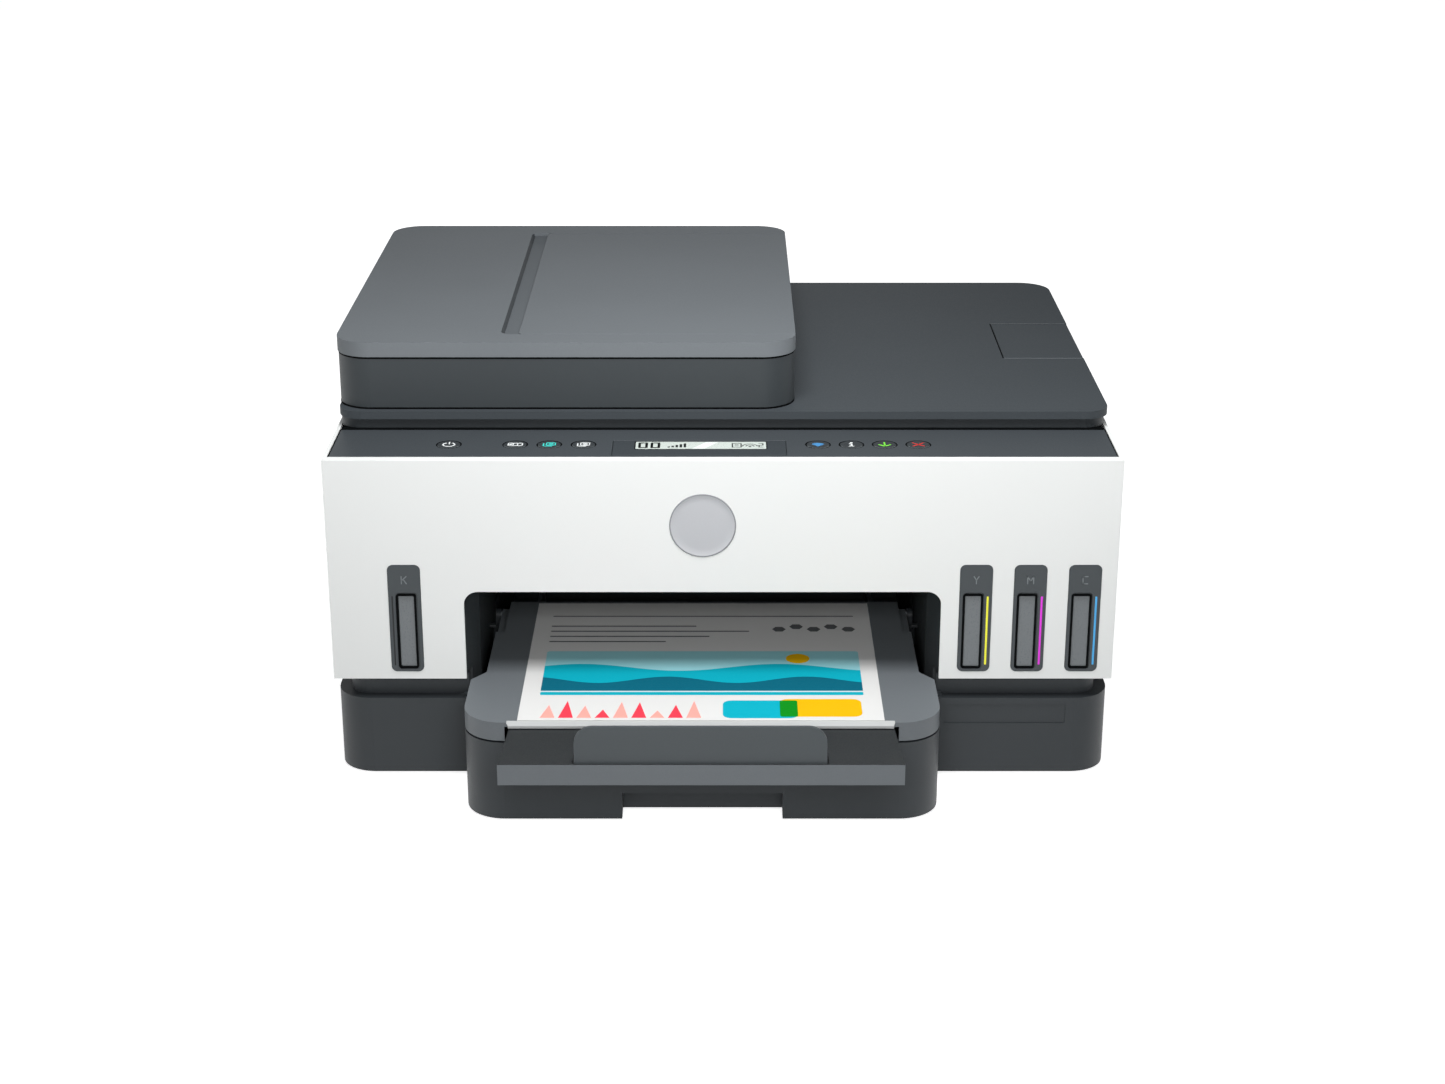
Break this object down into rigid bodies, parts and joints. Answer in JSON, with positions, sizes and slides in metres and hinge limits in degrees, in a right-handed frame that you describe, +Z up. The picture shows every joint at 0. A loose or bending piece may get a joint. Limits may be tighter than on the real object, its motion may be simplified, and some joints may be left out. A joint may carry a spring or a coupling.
{
  "type": "inkjet printer",
  "caption": "All-in-one ink tank printer with flatbed scanner, sheet feeder, front cassette, output tray and refillable tanks behind front gauges.",
  "frame": {"origin": "centre of the bounding box on the standing plane under the rubber feet", "axes": "+X to the right seen from the front, +Y from the output tray towards the rear, +Z up"},
  "size_m": [0.4494, 0.465, 0.2462],
  "materials": {
    "dark_plastic": "fine moulded grain, satin",
    "inner_plastic": "plain moulded",
    "white_plastic": "smooth satin",
    "panel_plastic": "satin",
    "display_plastic": "semi gloss",
    "button_plastic": "satin",
    "grey_plastic": "fine moulded grain, satin",
    "black_plastic": "plain moulded",
    "tank_clear": "translucent",
    "cap_black": "satin",
    "cap_yellow": "satin",
    "cap_magenta": "satin",
    "cap_cyan": "satin",
    "steel_sheet": "zinc plated",
    "motor_steel": "drawn can",
    "screw_steel": "black zinc",
    "black_rubber": "matt",
    "roller_rubber": "ground rubber",
    "circuit_board": "solder mask",
    "head_blue": "satin",
    "gear_plastic": "natural acetal",
    "printed_paper": "uncoated paper",
    "clear_glass": "float glass",
    "white_foam": "soft pad"
  },
  "bodies": {
    "chassis": {"base_tub": "dark_plastic", "front_side_panel": "white_plastic", "rear_cover": "dark_plastic", "mid_frame": "inner_plastic", "side_frames": "inner_plastic", "output_bay": "inner_plastic", "control_panel": "panel_plastic", "lcd_module": "display_plastic", "gauge_bezels": "panel_plastic", "ink_tank_black": "tank_clear", "ink_tanks_color": "tank_clear", "guide_rail": "steel_sheet", "carriage_belt": "black_rubber", "carriage_motor": "motor_steel", "feed_motor": "motor_steel", "platen": "black_plastic", "service_station": "black_plastic", "main_board": "circuit_board", "power_supply": "black_plastic", "power_inlet": "black_plastic", "rubber_feet": "black_rubber", "case_screws": "screw_steel"},
    "power_button": {"power_button": "button_plastic"},
    "id_copy_button": {"id_copy_button": "button_plastic"},
    "color_copy_button": {"color_copy_button": "button_plastic"},
    "black_copy_button": {"black_copy_button": "button_plastic"},
    "wireless_button": {"wireless_button": "button_plastic"},
    "info_button": {"info_button": "button_plastic"},
    "resume_button": {"resume_button": "button_plastic"},
    "cancel_button": {"cancel_button": "button_plastic"},
    "tank_cap_black": {"tank_cap_black": "cap_black"},
    "tank_cap_yellow": {"tank_cap_yellow": "cap_yellow"},
    "tank_cap_magenta": {"tank_cap_magenta": "cap_magenta"},
    "tank_cap_cyan": {"tank_cap_cyan": "cap_cyan"},
    "carriage": {"carriage": "black_plastic", "print_heads": "head_blue"},
    "feed_roller": {"feed_roller": "roller_rubber"},
    "exit_roller": {"exit_roller": "roller_rubber"},
    "pickup_roller": {"pickup_roller": "roller_rubber"},
    "exit_idler": {"exit_idler_gear": "gear_plastic"},
    "pickup_idler": {"pickup_idler_gear": "gear_plastic"},
    "cassette": {"input_tray": "dark_plastic"},
    "left_guide": {"width_guide_left": "panel_plastic"},
    "right_guide": {"width_guide_right": "panel_plastic"},
    "end_guide": {"length_guide": "panel_plastic"},
    "output_tray": {"output_tray": "grey_plastic", "printed_sheet": "printed_paper"},
    "extender": {"output_extender": "grey_plastic"},
    "paper_stop": {"paper_stop": "grey_plastic"},
    "scanner": {"scanner_tub": "dark_plastic", "scanner_glass": "clear_glass"},
    "scan_bar": {"scan_bar": "black_plastic"},
    "lid": {"scanner_lid": "dark_plastic", "lid_pad": "white_foam", "adf_body": "dark_plastic"},
    "adf_cover": {"adf_top_cover": "grey_plastic"},
    "adf_tray": {"adf_tray_cover": "grey_plastic"},
    "adf_rollers": {"adf_rollers": "roller_rubber"},
    "output_flap": {"output_flap": "dark_plastic"},
    "rear_door": {"rear_door": "dark_plastic"}
  },
  "joints": [
    {"name": "power_button_press", "type": "slide", "parent": "chassis", "child": "power_button", "axis": [0, 0, -1], "range_m": [0, 0.0008], "stiffness_N_per_m": 1500, "springref_m": -0.0006},
    {"name": "id_copy_button_press", "type": "slide", "parent": "chassis", "child": "id_copy_button", "axis": [0, 0, -1], "range_m": [0, 0.0008], "stiffness_N_per_m": 1500, "springref_m": -0.0006},
    {"name": "color_copy_button_press", "type": "slide", "parent": "chassis", "child": "color_copy_button", "axis": [0, 0, -1], "range_m": [0, 0.0008], "stiffness_N_per_m": 1500, "springref_m": -0.0006},
    {"name": "black_copy_button_press", "type": "slide", "parent": "chassis", "child": "black_copy_button", "axis": [0, 0, -1], "range_m": [0, 0.0008], "stiffness_N_per_m": 1500, "springref_m": -0.0006},
    {"name": "wireless_button_press", "type": "slide", "parent": "chassis", "child": "wireless_button", "axis": [0, 0, -1], "range_m": [0, 0.0008], "stiffness_N_per_m": 1500, "springref_m": -0.0006},
    {"name": "info_button_press", "type": "slide", "parent": "chassis", "child": "info_button", "axis": [0, 0, -1], "range_m": [0, 0.0008], "stiffness_N_per_m": 1500, "springref_m": -0.0006},
    {"name": "resume_button_press", "type": "slide", "parent": "chassis", "child": "resume_button", "axis": [0, 0, -1], "range_m": [0, 0.0008], "stiffness_N_per_m": 1500, "springref_m": -0.0006},
    {"name": "cancel_button_press", "type": "slide", "parent": "chassis", "child": "cancel_button", "axis": [0, 0, -1], "range_m": [0, 0.0008], "stiffness_N_per_m": 1500, "springref_m": -0.0006},
    {"name": "tank_cap_black_hinge", "type": "hinge", "parent": "chassis", "child": "tank_cap_black", "pos_m": [-0.181, -0.0235, 0.1255], "axis": [-1, 0, 0], "range_deg": [0, 100]},
    {"name": "tank_cap_yellow_hinge", "type": "hinge", "parent": "chassis", "child": "tank_cap_yellow", "pos_m": [0.146, -0.0235, 0.1255], "axis": [-1, 0, 0], "range_deg": [0, 100]},
    {"name": "tank_cap_magenta_hinge", "type": "hinge", "parent": "chassis", "child": "tank_cap_magenta", "pos_m": [0.1746, -0.0235, 0.1255], "axis": [-1, 0, 0], "range_deg": [0, 100]},
    {"name": "tank_cap_cyan_hinge", "type": "hinge", "parent": "chassis", "child": "tank_cap_cyan", "pos_m": [0.2034, -0.0235, 0.1255], "axis": [-1, 0, 0], "range_deg": [0, 100]},
    {"name": "carriage_slide", "type": "slide", "parent": "chassis", "child": "carriage", "axis": [-1, 0, 0], "range_m": [0, 0.285]},
    {"name": "feed_roller_spin", "type": "hinge", "parent": "chassis", "child": "feed_roller", "pos_m": [-0.01165, 0.0575, 0.0725], "axis": [1, 0, 0], "continuous": true},
    {"name": "exit_roller_spin", "type": "hinge", "parent": "chassis", "child": "exit_roller", "pos_m": [-0.01165, 0.0035, 0.0725], "axis": [1, 0, 0], "continuous": true},
    {"name": "exit_idler_spin", "type": "hinge", "parent": "chassis", "child": "exit_idler", "pos_m": [-0.15565, 0.0305, 0.0725], "axis": [1, 0, 0], "continuous": true},
    {"name": "pickup_idler_spin", "type": "hinge", "parent": "chassis", "child": "pickup_idler", "pos_m": [-0.15565, 0.083, 0.0725], "axis": [1, 0, 0], "continuous": true},
    {"name": "pickup_roller_spin", "type": "hinge", "parent": "chassis", "child": "pickup_roller", "pos_m": [-0.01165, 0.1025, 0.0725], "axis": [1, 0, 0], "continuous": true},
    {"name": "cassette_slide", "type": "slide", "parent": "chassis", "child": "cassette", "axis": [0, -1, 0], "range_m": [0, 0.2]},
    {"name": "width_guide_left_slide", "type": "slide", "parent": "cassette", "child": "left_guide", "axis": [1, 0, 0], "range_m": [0, 0.055]},
    {"name": "width_guide_right_slide", "type": "slide", "parent": "cassette", "child": "right_guide", "axis": [-1, 0, 0], "range_m": [0, 0.055]},
    {"name": "length_guide_slide", "type": "slide", "parent": "cassette", "child": "end_guide", "axis": [0, 1, 0], "range_m": [0, 0.146]},
    {"name": "output_tray_lift", "type": "hinge", "parent": "cassette", "child": "output_tray", "pos_m": [-0.01165, -0.0105, 0.056], "axis": [-1, 0, 0], "range_deg": [0, 20]},
    {"name": "extender_slide", "type": "slide", "parent": "output_tray", "child": "extender", "axis": [0, 1, 0], "range_m": [0, 0.036]},
    {"name": "paper_stop_fold", "type": "hinge", "parent": "extender", "child": "paper_stop", "pos_m": [-0.01165, -0.2295, 0.0564], "axis": [-1, 0, 0], "range_deg": [0, 88]},
    {"name": "scanner_lift", "type": "hinge", "parent": "chassis", "child": "scanner", "pos_m": [0, 0.2275, 0.1955], "axis": [-1, 0, 0], "range_deg": [0, 35]},
    {"name": "scan_bar_slide", "type": "slide", "parent": "scanner", "child": "scan_bar", "axis": [1, 0, 0], "range_m": [0, 0.32]},
    {"name": "lid_hinge", "type": "hinge", "parent": "scanner", "child": "lid", "pos_m": [0, 0.23, 0.2015], "axis": [-1, 0, 0], "range_deg": [0, 70]},
    {"name": "adf_cover_hinge", "type": "hinge", "parent": "lid", "child": "adf_cover", "pos_m": [-0.2249, 0.0845, 0.2377], "axis": [0, -1, 0], "range_deg": [0, 60]},
    {"name": "adf_tray_hinge", "type": "hinge", "parent": "lid", "child": "adf_tray", "pos_m": [0.0424, 0.0825, 0.2375], "axis": [0, 1, 0], "range_deg": [0, 125]},
    {"name": "adf_roller_spin", "type": "hinge", "parent": "lid", "child": "adf_rollers", "pos_m": [-0.15, 0.0845, 0.2225], "axis": [0, 1, 0], "continuous": true},
    {"name": "output_flap_hinge", "type": "hinge", "parent": "lid", "child": "output_flap", "pos_m": [0.2245, 0.0841, 0.2061], "axis": [0, 1, 0], "range_deg": [0, 175]},
    {"name": "rear_door_hinge", "type": "hinge", "parent": "chassis", "child": "rear_door", "pos_m": [-0.012, 0.2256, 0.0641], "axis": [-1, 0, 0], "range_deg": [0, 80]}
  ],
  "couplings": [
    {"joint": "exit_idler_spin", "follows": "feed_roller_spin", "ratio": -2},
    {"joint": "exit_roller_spin", "follows": "feed_roller_spin", "ratio": 1},
    {"joint": "pickup_idler_spin", "follows": "feed_roller_spin", "ratio": -2.4},
    {"joint": "pickup_roller_spin", "follows": "feed_roller_spin", "ratio": 1.5},
    {"joint": "width_guide_right_slide", "follows": "width_guide_left_slide", "ratio": 1}
  ]
}
